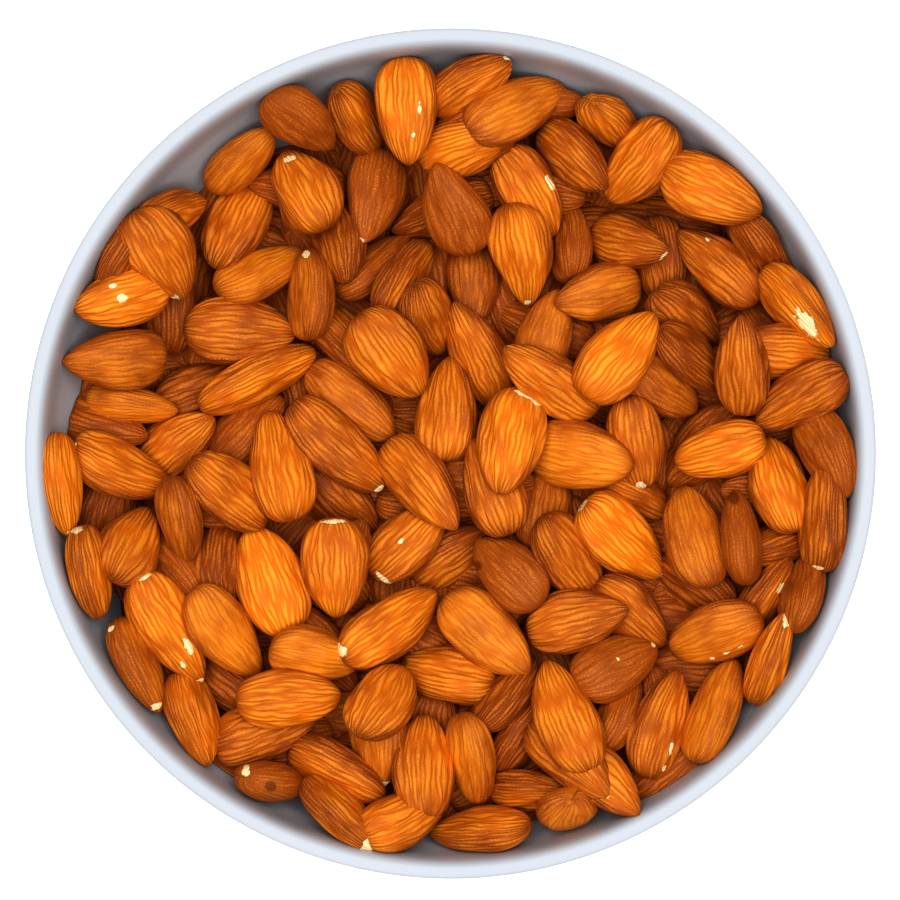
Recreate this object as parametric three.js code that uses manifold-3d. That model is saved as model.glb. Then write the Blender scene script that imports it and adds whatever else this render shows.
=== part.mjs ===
// A round porcelain bowl heaped with whole shelled almonds, in millimetres.
// It stands on z = 0, its axis is Z, and from above +X is to the right and +Y is up.
import * as THREE from "three";
import { mergeVertices } from "three/addons/utils/BufferGeometryUtils.js";
import Module from "manifold-3d";

const { abs, ceil, cos, floor, max, min, sin, sqrt } = Math;
const radians = THREE.MathUtils.degToRad;
const FULL_TURN = 2 * Math.PI;

// The bowl
const RIM_RADIUS = 90;
const BOWL_HEIGHT = 64;
const RIM_WALL = 3.2;
const FOOT_RADIUS = 44;
const FOOT_WIDTH = 4;
const FOOT_HEIGHT = 2.6;
const FOOT_BEVEL = 1;
const FLOOR_THICKNESS = 4;
const FLOOR_RADIUS = 38;
const UNDERSIDE_SLOPE = radians(15); // the outside leaves the foot at this slope
const RIM_SLOPE = radians(79); // and both sides reach the rim at about this one
const BOWL_SIDES = 80;
const WALL_STEPS = 6;
const LIP_STEPS = 4;

// The almonds
const KERNEL_LENGTH = 23;
const KERNEL_WIDTH = 13.6;
const KERNEL_THICKNESS = 8.4;
const CLEARANCE = 0.35; // between the almonds and the bowl
const SINK = 0.9; // how far an almond settles into what it lies on
const HEAP_LEVEL = 49; // of the topmost almonds' middles, on the bowl's axis
const HEAP_SLOPE = 0.05; // the heap rises to the south-east, in mm for each mm east and each mm south
const HIGHEST = 3.5; // an almond that would lie higher than this above the heap's level is pressed in
const BED_DEPTH = 10.5; // the bed of hidden almonds lies this far below the heap's level, or more
const BED_FLOOR_DEPTH = 15; // the bed rests this far below it
const CORE_DEPTH = 9.5; // the solid core comes up to this far below it

// The almonds that show, from the lowest to the topmost, as the photograph has them on the plane of the rim:
// east and north of the axis, the tip's heading in degrees from east, and the length and width that show.
const SHOWN = [
  [-21, 11, -35, 24, 13], [-23, -9.5, -50, 22, 12], [0, -22, 30, 20, 11], [20, -11, 75, 22, 11],
  [24, -22, -50, 22, 11], [-49, -22, 80, 20, 10], [-58, -24, -40, 20, 12], [-44, -50, -30, 20, 12],
  [-53.5, 14, 25, 22, 12], [-43, 5, 40, 20, 11], [-60, 51.5, 22, 19, 10], [-69.5, 44, 55, 17, 9],
  [-17.5, 39.5, 40, 21, 9], [-10.5, 37.5, 58, 22, 10], [-5.5, 29.5, -62, 19, 10], [4, 36, -85, 18, 12],
  [-23, 44, -70, 18, 10], [-2, 52.5, 207, 24, 9.5], [26, 46, 100, 20, 8], [46, 41, -75, 20, 10],
  [50.5, 30, -45, 20, 11], [45, 14.5, -30, 20, 11], [50, 20, -35, 20, 11], [38, -9, -25, 20, 10],
  [80, 0, -60, 22, 10], [69, -19, 20, 18, 8], [67, -29, 60, 14, 8], [74.5, -30, 80, 18, 7.5],
  [53.5, -29, -30, 20, 11], [38, -34, -35, 20, 11], [35.5, -54.5, 60, 16, 8], [12, -51, 50, 18, 8],
  [14, -59, 60, 20, 11], [20.5, 75, 0, 17, 10], [67, 44, -50, 16, 10], [5, 22, 120, 25.5, 11],
  [-28.5, -42, -18, 20, 10.5], [-21.5, 21.5, -52, 24, 11.5], [8.5, -7, 110, 22, 13], [-8, -19, 50, 22, 13],
  [20.5, 25.5, 75, 19, 12], [-44.8, 26, -8, 24, 14.5], [-41, 38, 33, 22, 11], [-47, -8.5, -38, 22, 11],
  [40, 3, -85, 20.5, 12], [12.8, -25, 141, 20, 13], [-39, -60, 12, 24, 11], [-55, -57, -75, 22, 10],
  [-66, -45.5, -60, 22, 9], [-14.5, -61, -80, 20, 10], [33, -70, -48, 22, 12], [26, -64.5, -45, 24, 13],
  [36, -46, 30, 20, 14], [38.5, 45, -20, 18, 12], [16.5, 55.5, -55, 22, 12], [35.3, 70.8, -48, 16.5, 10.3],
  [-20, 70.5, -58, 17, 9], [5.5, 78.5, 38, 20.5, 9.5], [70.5, 21.5, -5, 18, 10], [-10.5, -77.5, 30, 21, 12],
  [-72, 21, 178, 23, 13.5], [69.5, -6.5, 100, 22, 11.5], [3.5, 65.5, 20, 13.5, 10.5], [56, 55, -32, 23, 14],
  [-57.5, 2.2, 30, 15.5, 13], [-83, -7, -78, 22, 7.5], [-77, -26, -75, 20, 7.5],
  [-70.5, 34, 190, 21.5, 12.5], [-67.5, 11, -5, 20, 8.8], [-70.5, -4, -18, 24, 11.5],
  [-61.5, 43, -55, 22, 15.5], [-68.5, -19.8, 58, 19.5, 14], [-56, -13.5, -88, 20, 8.5],
  [-45, 47.5, 251, 21.5, 14], [-41, 16, 32, 28, 11.5], [-37.3, -3.5, 95, 25.5, 14.5],
  [-38.5, -27, 113, 24.5, 15], [-60, -38, -64, 27, 13.5], [-48.2, -37.5, -49, 24.5, 13],
  [-34, -51.5, 5, 22.5, 13], [-23, -67.5, -20, 23, 10.5], [-24, -77, -48, 22, 9.5],
  [-38.3, -70.2, -15, 15, 9.8], [-24.3, -24.2, -88, 21.5, 14.8], [-12, 21, -55, 22, 16],
  [-24.5, 1, -46, 27, 13.5], [0.3, 10.5, 83, 23, 14], [28.5, 0.2, -3, 24, 15], [21, 16.5, 149, 25, 12.5],
  [-6, -7.5, -55, 25.5, 11.8], [12.5, 1.8, 72, 24.5, 14.3], [-0.5, -47.5, 165, 22, 10.5],
  [-13.8, -37.3, 29, 26, 12.5], [8.4, -38.5, -48, 24.5, 14.5], [-14.5, -53, 55, 18, 14],
  [-5.5, -67, 85, 23, 11.5], [4.5, -64, -88, 21, 9.5], [7, -80.3, 180, 23, 10], [16, -71, 0, 17.5, 9],
  [24.6, -76.5, 250, 13, 10.8], [24.5, -56, 105, 26, 13.5], [36, -18.5, -40, 24.5, 14.5],
  [28, -35.5, 20, 22.5, 13.5], [44.5, -57, 78, 24, 11], [56.5, -55, 68, 24.5, 11.5],
  [68.7, -44, 78, 22, 9.5], [57, -37, 208, 21.5, 11.5], [52, -18.5, 98, 23.5, 13.5],
  [61, -17.5, 100, 21, 8], [57, 0.8, 190, 20.5, 12], [74.5, 10.5, 205, 22.5, 12],
  [79.5, -12.5, 82, 24.5, 10.5], [62.3, 19.5, 99, 22.5, 12], [73.5, 31, -50, 22.5, 10.5],
  [36, 20.5, 48, 24, 14], [57.5, 40.5, 143, 23.5, 12], [41, 60.5, 225, 21.5, 13.5],
  [31.5, 35, 200, 18.5, 13], [16, 43, -86, 23.5, 13.5], [27, 62.5, -38, 20.5, 11],
  [13.5, 72.5, 33, 25, 13.5], [-9, 72.5, -82, 23, 14], [-31.7, 70.8, -32, 18.5, 11.3],
  [-44.5, 63.5, 38, 18, 10], [-31, 56, 115, 17.5, 14.5], [-17.5, 54.5, -105, 22, 13],
  [1, 53, 108, 21.5, 14], [-30, 33.5, 95, 18.5, 11.5],
];
const PARTLY_COVERED = 35; // this many of them belong to the layer below the topmost
const RIM_PLANE_SCALE = 1.015; // what lies a little below the rim is this much larger than it shows there

// One side of the bowl's wall: an arc between two corners, whose slope grows from one angle to another.
function wallArc(inner, outer, low, high, from, to) {
  const across = (outer - inner) / (sin(to) - sin(from));
  const up = (high - low) / (cos(from) - cos(to));
  const points = Array.from({ length: WALL_STEPS + 1 }, (_, i) => {
    const slope = from + ((to - from) * i) / WALL_STEPS;
    return new THREE.Vector2(inner + across * (sin(slope) - sin(from)), low + up * (cos(from) - cos(slope)));
  });
  const heightAt = (radius) => {
    const sine = (radius - inner) / across + sin(from);
    return low + up * (cos(from) - sqrt(1 - sine * sine));
  };
  return { points, heightAt };
}

const LIP_RADIUS = RIM_WALL / 2;
const LIP_LEVEL = BOWL_HEIGHT - LIP_RADIUS;
const MOUTH_RADIUS = RIM_RADIUS - RIM_WALL;
const FLOOR_LEVEL = FOOT_HEIGHT + FLOOR_THICKNESS;
const outerWall = wallArc(FOOT_RADIUS, RIM_RADIUS, FOOT_HEIGHT, LIP_LEVEL, UNDERSIDE_SLOPE, RIM_SLOPE);
const innerWall = wallArc(FLOOR_RADIUS, MOUTH_RADIUS, FLOOR_LEVEL, LIP_LEVEL, 0, RIM_SLOPE);

// A closed surface turned about Z, from a profile of [radius, level] that starts and ends on the axis.
function turned(profile, sides) {
  const points = profile.map(([radius, level]) => new THREE.Vector2(radius, level));
  return new THREE.LatheGeometry(points, sides).rotateX(Math.PI / 2);
}

function bowlGeometry() {
  const lip = Array.from({ length: LIP_STEPS - 1 }, (_, i) => {
    const turn = (Math.PI * (i + 1)) / LIP_STEPS;
    return [RIM_RADIUS - LIP_RADIUS + LIP_RADIUS * cos(turn), LIP_LEVEL + LIP_RADIUS * sin(turn)];
  });
  const footInside = FOOT_RADIUS - FOOT_WIDTH;
  const outside = outerWall.points.map((p) => [p.x, p.y]);
  const inside = innerWall.points.map((p) => [p.x, p.y]).reverse();
  const foot = [[0, FOOT_HEIGHT], [footInside - FOOT_BEVEL, FOOT_HEIGHT], [footInside, 0], [FOOT_RADIUS, 0]];
  return turned([...foot, ...outside, ...lip, ...inside, [0, FLOOR_LEVEL]], BOWL_SIDES);
}

// The room inside the bowl and over its mouth, clear of its wall.
function roomGeometry() {
  const wall = innerWall.points.map((p) => [p.x - CLEARANCE, p.y + CLEARANCE]);
  const top = 2 * BOWL_HEIGHT;
  const over = [[MOUTH_RADIUS - CLEARANCE, top], [0, top]];
  return turned([[0, FLOOR_LEVEL + CLEARANCE], ...wall, ...over], BOWL_SIDES / 2);
}

// The level of the topmost almonds' middles over a place.
function heapLevel(x, y) {
  return HEAP_LEVEL + HEAP_SLOPE * (x - y);
}

// The almonds are settled one by one on a grid of heights, with a cell for each square millimetre.
const HALF_GRID = ceil(RIM_RADIUS);
const ROW = 2 * HALF_GRID + 1;
const heights = new Float64Array(ROW * ROW);
const owners = new Int16Array(ROW * ROW).fill(-1); // the topmost almond over each cell
const STEEPNESS = 8; // above the mouth the wall is carried on this steeply, which keeps the almonds in

function wallHeight(radius) {
  const reach = radius + CLEARANCE;
  if (reach < FLOOR_RADIUS) return FLOOR_LEVEL + CLEARANCE;
  if (reach < MOUTH_RADIUS) return innerWall.heightAt(reach) + CLEARANCE;
  return LIP_LEVEL + STEEPNESS * (reach - MOUTH_RADIUS);
}

for (let j = -HALF_GRID; j <= HALF_GRID; j++) {
  for (let i = -HALF_GRID; i <= HALF_GRID; i++) {
    const bed = heapLevel(i, j) - BED_FLOOR_DEPTH;
    heights[(j + HALF_GRID) * ROW + i + HALF_GRID] = max(bed, wallHeight(sqrt(i * i + j * j)));
  }
}

// The directions of an almond's length, towards its tip, of its width and of its thickness.
function axesOf({ heading, pitch, roll }) {
  const [ch, sh, cp, sp] = [cos(heading), sin(heading), cos(pitch), sin(pitch)];
  const [cr, sr] = [cos(roll), sin(roll)];
  return [
    [ch * cp, sh * cp, sp],
    [-sh * cr - ch * sp * sr, ch * cr - sh * sp * sr, cp * sr],
    [sh * sr - ch * sp * cr, -ch * sr - sh * sp * cr, cp * cr],
  ];
}

// Two ellipsoids stand in for an almond while it settles. As shares of its own sizes:
// how far along it the ellipsoid's middle is, and the ellipsoid's half length, half width and half thickness.
const LOBES = [[-0.1, 0.37, 0.48, 0.48], [0.13, 0.35, 0.34, 0.37]];

// Calls visit(cell, below, above) with the heights of the lower and the upper face over the almond's middle.
function overCells(almond, visit) {
  const [u, v, w] = axesOf(almond);
  for (const [along, lengthShare, widthShare, thicknessShare] of LOBES) {
    const size = [lengthShare * almond.length, widthShare * almond.width, thicknessShare * almond.thickness];
    const [qu, qv, qw] = size.map((half) => 1 / (half * half));
    const reach = [0, 1].map((k) => Math.hypot(size[0] * u[k], size[1] * v[k], size[2] * w[k]));
    const [x, y, z] = u.map((part) => part * along * almond.length);
    const [left, right] = [-1, 1].map((way) => almond.x + x + way * reach[0]);
    const [near, far] = [-1, 1].map((way) => almond.y + y + way * reach[1]);
    const a = u[2] * u[2] * qu + v[2] * v[2] * qv + w[2] * w[2] * qw;
    for (let j = max(ceil(near), -HALF_GRID); j <= min(floor(far), HALF_GRID); j++) {
      for (let i = max(ceil(left), -HALF_GRID); i <= min(floor(right), HALF_GRID); i++) {
        const [dx, dy] = [i - almond.x - x, j - almond.y - y];
        const [du, dv, dw] = [u, v, w].map((axis) => dx * axis[0] + dy * axis[1]);
        const b = du * u[2] * qu + dv * v[2] * qv + dw * w[2] * qw;
        const c = du * du * qu + dv * dv * qv + dw * dw * qw - 1;
        const inside = b * b - a * c;
        if (inside <= 0) continue;
        const half = sqrt(inside);
        visit((j + HALF_GRID) * ROW + i + HALF_GRID, z + (-b - half) / a, z + (-b + half) / a);
      }
    }
  }
}

function restLevel(almond) {
  let level = 0;
  overCells(almond, (cell, below) => {
    level = max(level, heights[cell] - below);
  });
  return level;
}

// Small moves, halved in each round, that let an almond lie lower. A move sideways has to earn its length.
const SIDEWAYS_COST = 0.3;
const FIRST_STEP = 0.6;
const ROUNDS = 4;

function settle(almond, freedom) {
  const start = { ...almond };
  const moved = (trial) => abs(trial.x - start.x) + abs(trial.y - start.y);
  const cost = (trial) => restLevel(trial) + SIDEWAYS_COST * moved(trial);
  let best = cost(almond);
  for (let round = 0; round < ROUNDS; round++) {
    for (const [key, limit] of Object.entries(freedom)) {
      for (const way of [1, -1]) {
        const trial = { ...almond, [key]: almond[key] + (way * limit * FIRST_STEP) / 2 ** round };
        if (abs(trial[key] - start[key]) > limit) continue;
        const level = cost(trial);
        if (level >= best - 1e-6) continue;
        best = level;
        Object.assign(almond, trial);
        break;
      }
    }
  }
  almond.z = restLevel(almond) - SINK;
  return almond;
}

const almonds = [];

function lay(almond) {
  overCells(almond, (cell, below, above) => {
    if (almond.z + above <= heights[cell]) return;
    heights[cell] = almond.z + above;
    owners[cell] = almonds.length;
  });
  almonds.push(almond);
}

// A hidden almond near a place, of a drawn size and heading.
const SIZE_RANGE = [0.9, 1.06];
const HIDDEN_FREEDOM = { x: 4, y: 4, pitch: radians(20), roll: radians(25), heading: radians(40) };
let seed = 5;

function draw(low, high) {
  seed = (seed * 1664525 + 1013904223) % 2 ** 32;
  return low + ((high - low) * seed) / 2 ** 32;
}

function hiddenAlmond(x, y) {
  const size = draw(...SIZE_RANGE);
  const almond = { x, y, heading: draw(0, FULL_TURN), pitch: 0, roll: 0 };
  almond.length = KERNEL_LENGTH * size;
  almond.width = KERNEL_WIDTH * size;
  almond.thickness = KERNEL_THICKNESS * size;
  return settle(almond, HIDDEN_FREEDOM);
}

// The bed is spread evenly, by two steps round the bowl and out from its axis that never fall in line.
const BED_TRIES = 160;
const OUTWARD_STEP = 0.7548777;
const TURN_STEP = 0.5698403;

function layBed() {
  for (let i = 1; i <= BED_TRIES; i++) {
    const radius = (MOUTH_RADIUS - KERNEL_WIDTH / 2) * sqrt((i * OUTWARD_STEP) % 1);
    const turn = FULL_TURN * ((i * TURN_STEP) % 1);
    const almond = hiddenAlmond(radius * cos(turn), radius * sin(turn));
    if (almond.z < heapLevel(almond.x, almond.y) - BED_DEPTH) lay(almond);
  }
}

// One that shows short stands up at one end, and one that shows narrow lies on an edge.
// Of the ways that this can be, the almond takes the lowest.
const SHORTEST = 20.5;
const NARROWEST = 12;
const SHOWN_FREEDOM = { pitch: radians(22), roll: radians(22), x: 1, y: 1, heading: radians(6) };

function shownAlmond(row) {
  const [x, y, , seenLength, seenWidth] = row.map((size) => size * RIM_PLANE_SCALE);
  const length = max(seenLength, SHORTEST);
  const width = seenWidth < NARROWEST ? KERNEL_WIDTH : seenWidth;
  const thickness = (KERNEL_THICKNESS * (1 + width / KERNEL_WIDTH)) / 2;
  const flatness = (seenWidth ** 2 - thickness ** 2) / (width ** 2 - thickness ** 2);
  const roll = Math.acos(sqrt(min(1, max(0, flatness))));
  const pitch = Math.acos(seenLength / length);
  const ways = [[pitch, roll], [pitch, -roll], [-pitch, roll], [-pitch, -roll]].map((way) => {
    const almond = { x, y, heading: radians(row[2]), pitch: way[0], roll: way[1], length, width, thickness };
    return settle(almond, SHOWN_FREEDOM);
  });
  return ways.reduce((a, b) => (b.z < a.z - 1e-6 ? b : a));
}

// How far an almond reaches above its own middle.
function upReach(almond) {
  const [u, v, w] = axesOf(almond);
  return Math.hypot(almond.length * u[2], almond.width * v[2], almond.thickness * w[2]) / 2;
}

// Where a shown almond would lie too deep, hidden ones go under it first.
const MOST_UNDER = 3;
const DEEPEST_COVERED = 9;
const DEEPEST_TOPMOST = 4;

function layShown() {
  SHOWN.forEach((row, i) => {
    const deepest = i < PARTLY_COVERED ? DEEPEST_COVERED : DEEPEST_TOPMOST;
    let almond = shownAlmond(row);
    for (let under = 0; under < MOST_UNDER && almond.z < heapLevel(almond.x, almond.y) - deepest; under++) {
      lay(hiddenAlmond(almond.x, almond.y));
      almond = shownAlmond(row);
    }
    const rimLimit = BOWL_HEIGHT - upReach(almond);
    almond.z = min(almond.z, heapLevel(almond.x, almond.y) + HIGHEST, rimLimit);
    lay(almond);
  });
}

// An almond's outline as a share of its width, from -1 at the blunt end to 1 at the tip.
const BLUNTNESS = 0.45;
const TAPER = 0.75;

function outline(along) {
  const shape = (place) => (1 - place) ** TAPER * (1 + place) ** BLUNTNESS;
  return shape(along) / shape((BLUNTNESS - TAPER) / (BLUNTNESS + TAPER));
}

const wasm = await Module();
wasm.setup();

function solidOf(vertices, triangles) {
  const vertProperties = new Float32Array(vertices);
  const triVerts = new Uint32Array(triangles);
  return new wasm.Manifold(new wasm.Mesh({ numProp: 3, vertProperties, triVerts }));
}

function solidFrom(geometry) {
  geometry.deleteAttribute("normal");
  geometry.deleteAttribute("uv");
  const merged = mergeVertices(geometry, 1e-3);
  return solidOf(merged.attributes.position.array, merged.index.array);
}

function geometryOf(solid) {
  const mesh = solid.getMesh();
  const geometry = new THREE.BufferGeometry();
  geometry.setAttribute("position", new THREE.BufferAttribute(mesh.vertProperties, 3));
  geometry.setIndex(new THREE.BufferAttribute(mesh.triVerts, 1));
  geometry.computeVertexNormals();
  return geometry;
}

// An almond of flat sides: rings round its length at these places along it, and a point at each end.
const SHOWN_DETAIL = { sides: 6, rings: [-0.72, -0.15, 0.55] };
const HIDDEN_DETAIL = { sides: 4, rings: [-0.2] };
const FULLNESS = 1.1; // the flat sides' corners stand out this far, so that they hold an almond's volume

function almondSolid(almond, { sides, rings }) {
  const [u, v, w] = axesOf(almond);
  const vertices = [];
  const addPoint = (along, across, up) => {
    vertices.push(almond.x + along * u[0] + across * v[0] + up * w[0]);
    vertices.push(almond.y + along * u[1] + across * v[1] + up * w[1]);
    vertices.push(almond.z + along * u[2] + across * v[2] + up * w[2]);
  };
  addPoint(-almond.length / 2, 0, 0);
  for (const place of rings) {
    const halfWidth = (FULLNESS * outline(place) * almond.width) / 2;
    const halfThickness = (halfWidth * almond.thickness) / almond.width;
    for (let side = 0; side < sides; side++) {
      const turn = (FULL_TURN * side) / sides;
      addPoint((place * almond.length) / 2, halfWidth * cos(turn), halfThickness * sin(turn));
    }
  }
  addPoint(almond.length / 2, 0, 0);

  const triangles = [];
  const lastRing = 1 + (rings.length - 1) * sides;
  for (let side = 0; side < sides; side++) {
    const next = (side + 1) % sides;
    triangles.push(0, 1 + next, 1 + side);
    for (let ring = 1; ring < lastRing; ring += sides) {
      const [a, b, c, d] = [ring + side, ring + next, ring + sides + next, ring + sides + side];
      triangles.push(a, b, c, a, c, d);
    }
    triangles.push(lastRing + side, lastRing + next, lastRing + sides);
  }
  return solidOf(vertices, triangles);
}

// The room in the bowl below a plane that slopes as the heap does.
function coreSolid(room) {
  const span = 4 * RIM_RADIUS;
  const below = new THREE.BoxGeometry(span, span, span)
    .translate(0, 0, -span / 2)
    .rotateY(-Math.atan(HEAP_SLOPE * sqrt(2)))
    .rotateZ(-Math.PI / 4)
    .translate(0, 0, HEAP_LEVEL - CORE_DEPTH);
  return room.intersect(solidFrom(below));
}

// The core with the almonds fused on. One that doesn't reach what lies below it slides down and inwards
// until it does.
const LEAST_FUSED = 1; // mm3 that an almond shares with the heap
const SLIDE_DOWN = 0.3;
const SLIDE_IN = 0.004; // as a share of its distance from the axis
const WELL_SEEN = 90; // mm2 of an almond that show from above

function heapSolid() {
  const seen = almonds.map(() => 0);
  for (const owner of owners) if (owner >= 0) seen[owner]++;
  const room = solidFrom(roomGeometry());
  let heap = coreSolid(room);
  almonds.forEach((almond, i) => {
    const detail = seen[i] < WELL_SEEN ? HIDDEN_DETAIL : SHOWN_DETAIL;
    let solid = almondSolid(almond, detail).intersect(room);
    while (heap.intersect(solid).volume() < LEAST_FUSED) {
      almond.x *= 1 - SLIDE_IN;
      almond.y *= 1 - SLIDE_IN;
      almond.z -= SLIDE_DOWN;
      solid = almondSolid(almond, detail).intersect(room);
    }
    heap = heap.add(solid);
  });
  // sealed hollows between the almonds come last, as bodies of their own, and are left filled
  return heap.decompose().reduce((a, b) => (b.volume() > a.volume() ? b : a));
}

layBed();
layShown();

const porcelain = new THREE.MeshStandardMaterial({ color: 0xe9edf0, roughness: 0.15, metalness: 0 });
const almondSkin = new THREE.MeshStandardMaterial({ color: 0xc4640f, roughness: 0.55, metalness: 0 });

const group = new THREE.Group();
for (const [name, geometry, material] of [
  ["bowl", bowlGeometry(), porcelain],
  ["almonds", geometryOf(heapSolid()), almondSkin],
]) {
  const mesh = new THREE.Mesh(geometry, material);
  mesh.name = name;
  group.add(mesh);
}

export default group;
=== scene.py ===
import math

import bpy
import numpy as np
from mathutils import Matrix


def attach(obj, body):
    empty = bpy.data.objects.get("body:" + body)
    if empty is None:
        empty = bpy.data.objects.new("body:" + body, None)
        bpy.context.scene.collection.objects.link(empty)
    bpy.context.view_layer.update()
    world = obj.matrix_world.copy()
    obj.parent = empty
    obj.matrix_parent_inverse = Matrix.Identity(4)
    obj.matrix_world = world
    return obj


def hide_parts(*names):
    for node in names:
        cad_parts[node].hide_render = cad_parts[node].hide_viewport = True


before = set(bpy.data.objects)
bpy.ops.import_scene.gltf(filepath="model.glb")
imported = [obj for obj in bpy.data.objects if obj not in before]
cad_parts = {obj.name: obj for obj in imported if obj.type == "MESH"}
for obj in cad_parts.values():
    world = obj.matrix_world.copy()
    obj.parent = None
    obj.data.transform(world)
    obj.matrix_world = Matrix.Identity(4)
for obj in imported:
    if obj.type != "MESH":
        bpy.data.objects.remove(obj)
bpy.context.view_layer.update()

mm = 0.001
fullTurn = 2 * math.pi


# colours and nodes

def linearColour(code):
    parts = [int(code[i:i + 2], 16) / 255 for i in (1, 3, 5)]
    return [c / 12.92 if c <= 0.04045 else ((c + 0.055) / 1.055) ** 2.4 for c in parts] + [1.0]


def addNode(tree, kind, inputs=None, output=0, **settings):
    # a node with its settings and links; what comes back is the output that is wanted of it
    node = tree.nodes.new(kind)
    for name, value in settings.items():
        setattr(node, name, value)
    for socket, value in (inputs or {}).items():
        if isinstance(value, bpy.types.NodeSocket):
            tree.links.new(value, node.inputs[socket])
        else:
            node.inputs[socket].default_value = value
    return node.outputs[output] if node.outputs else node


def newMaterial(name):
    material = bpy.data.materials.new(name)
    material.use_nodes = True
    tree = material.node_tree
    tree.nodes.clear()
    return material, tree


def addPiece(name, points, faces, material, smooth=True):
    mesh = bpy.data.meshes.new(name)
    mesh.from_pydata(points, [], faces)
    mesh.update()
    mesh.materials.append(material)
    if smooth:
        mesh.polygons.foreach_set("use_smooth", [True] * len(mesh.polygons))
    piece = bpy.data.objects.new(name, mesh)
    bpy.context.collection.objects.link(piece)
    return piece


# the bowl, in millimetres: the same driving sizes as the CAD model's

bowl = {
    "rimRadius": 90, "height": 64, "rimWall": 3.2,
    "footRadius": 44, "footWidth": 4, "footHeight": 2.6, "footBevel": 1,
    "floorThickness": 4, "floorRadius": 38,
    "undersideSlope": math.radians(15), "rimSlope": math.radians(79),
    "sides": 192, "wallSteps": 40, "lipSteps": 16,
    "lipSquareness": 0.36,  # of the lip's outer side: 1 is round, less is flatter on top
    "shoulderTop": 1.9, "shoulderReach": 3.1, "shoulderDrop": 12,  # where the lip's flat top ends inside, and where the wall begins
    "footRound": 0.6,  # the thrown foot ring's edges
    "waver": 0.06,  # how far the wall leaves a true circle, as hand-finished porcelain does
}
lipRadius = bowl["rimWall"] / 2
lipLevel = bowl["height"] - lipRadius
mouthRadius = bowl["rimRadius"] - bowl["rimWall"]
floorLevel = bowl["footHeight"] + bowl["floorThickness"]


def wallArc(inner, outer, low, high, start, end):
    # an arc between two corners whose slope grows from one angle to another, and its height at a radius
    across = (outer - inner) / (math.sin(end) - math.sin(start))
    up = (high - low) / (math.cos(start) - math.cos(end))
    slopes = np.linspace(start, end, bowl["wallSteps"] + 1)
    points = [(inner + across * (math.sin(s) - math.sin(start)), low + up * (math.cos(start) - math.cos(s)))
              for s in slopes]

    def heightAt(radius):
        sine = np.minimum((radius - inner) / across + math.sin(start), 1)
        return low + up * (math.cos(start) - np.sqrt(1 - sine * sine))

    return points, heightAt


outerWall, outerHeight = wallArc(bowl["footRadius"], bowl["rimRadius"], bowl["footHeight"], lipLevel,
                                 bowl["undersideSlope"], bowl["rimSlope"])
innerWall, innerHeight = wallArc(bowl["floorRadius"], mouthRadius, floorLevel, lipLevel, 0, bowl["rimSlope"])


# the heap, in millimetres: almonds laid one by one by the same rule as the CAD model's

heap = {
    "kernelLength": 23, "kernelWidth": 13.6, "kernelThickness": 8.4,
    "clearance": 0.35,  # between the almonds and the bowl
    "sink": 0.9,  # how far an almond settles into what it lies on
    "level": 49, "slope": 0.05,  # of the topmost almonds' middles; the heap rises to the south-east
    "highest": 6.5, "bedDepth": 10.5, "bedFloorDepth": 15,
    "partlyCovered": 35, "rimPlaneScale": 1.015,
    "sidewaysCost": 0.3, "firstStep": 0.6, "rounds": 4, "steepness": 8,
    "sizeRange": (0.9, 1.06), "bedTries": 160, "outwardStep": 0.7548777, "turnStep": 0.5698403,
    "shortest": 20.5, "narrowest": 12, "mostUnder": 3, "deepestCovered": 9, "deepestTopmost": 4,
    "hiddenFreedom": {"x": 4, "y": 4, "pitch": math.radians(20), "roll": math.radians(25), "heading": math.radians(40)},
    "shownFreedom": {"pitch": math.radians(22), "roll": math.radians(22), "x": 1, "y": 1, "heading": math.radians(6)},
    "seed": 5,
}

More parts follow.
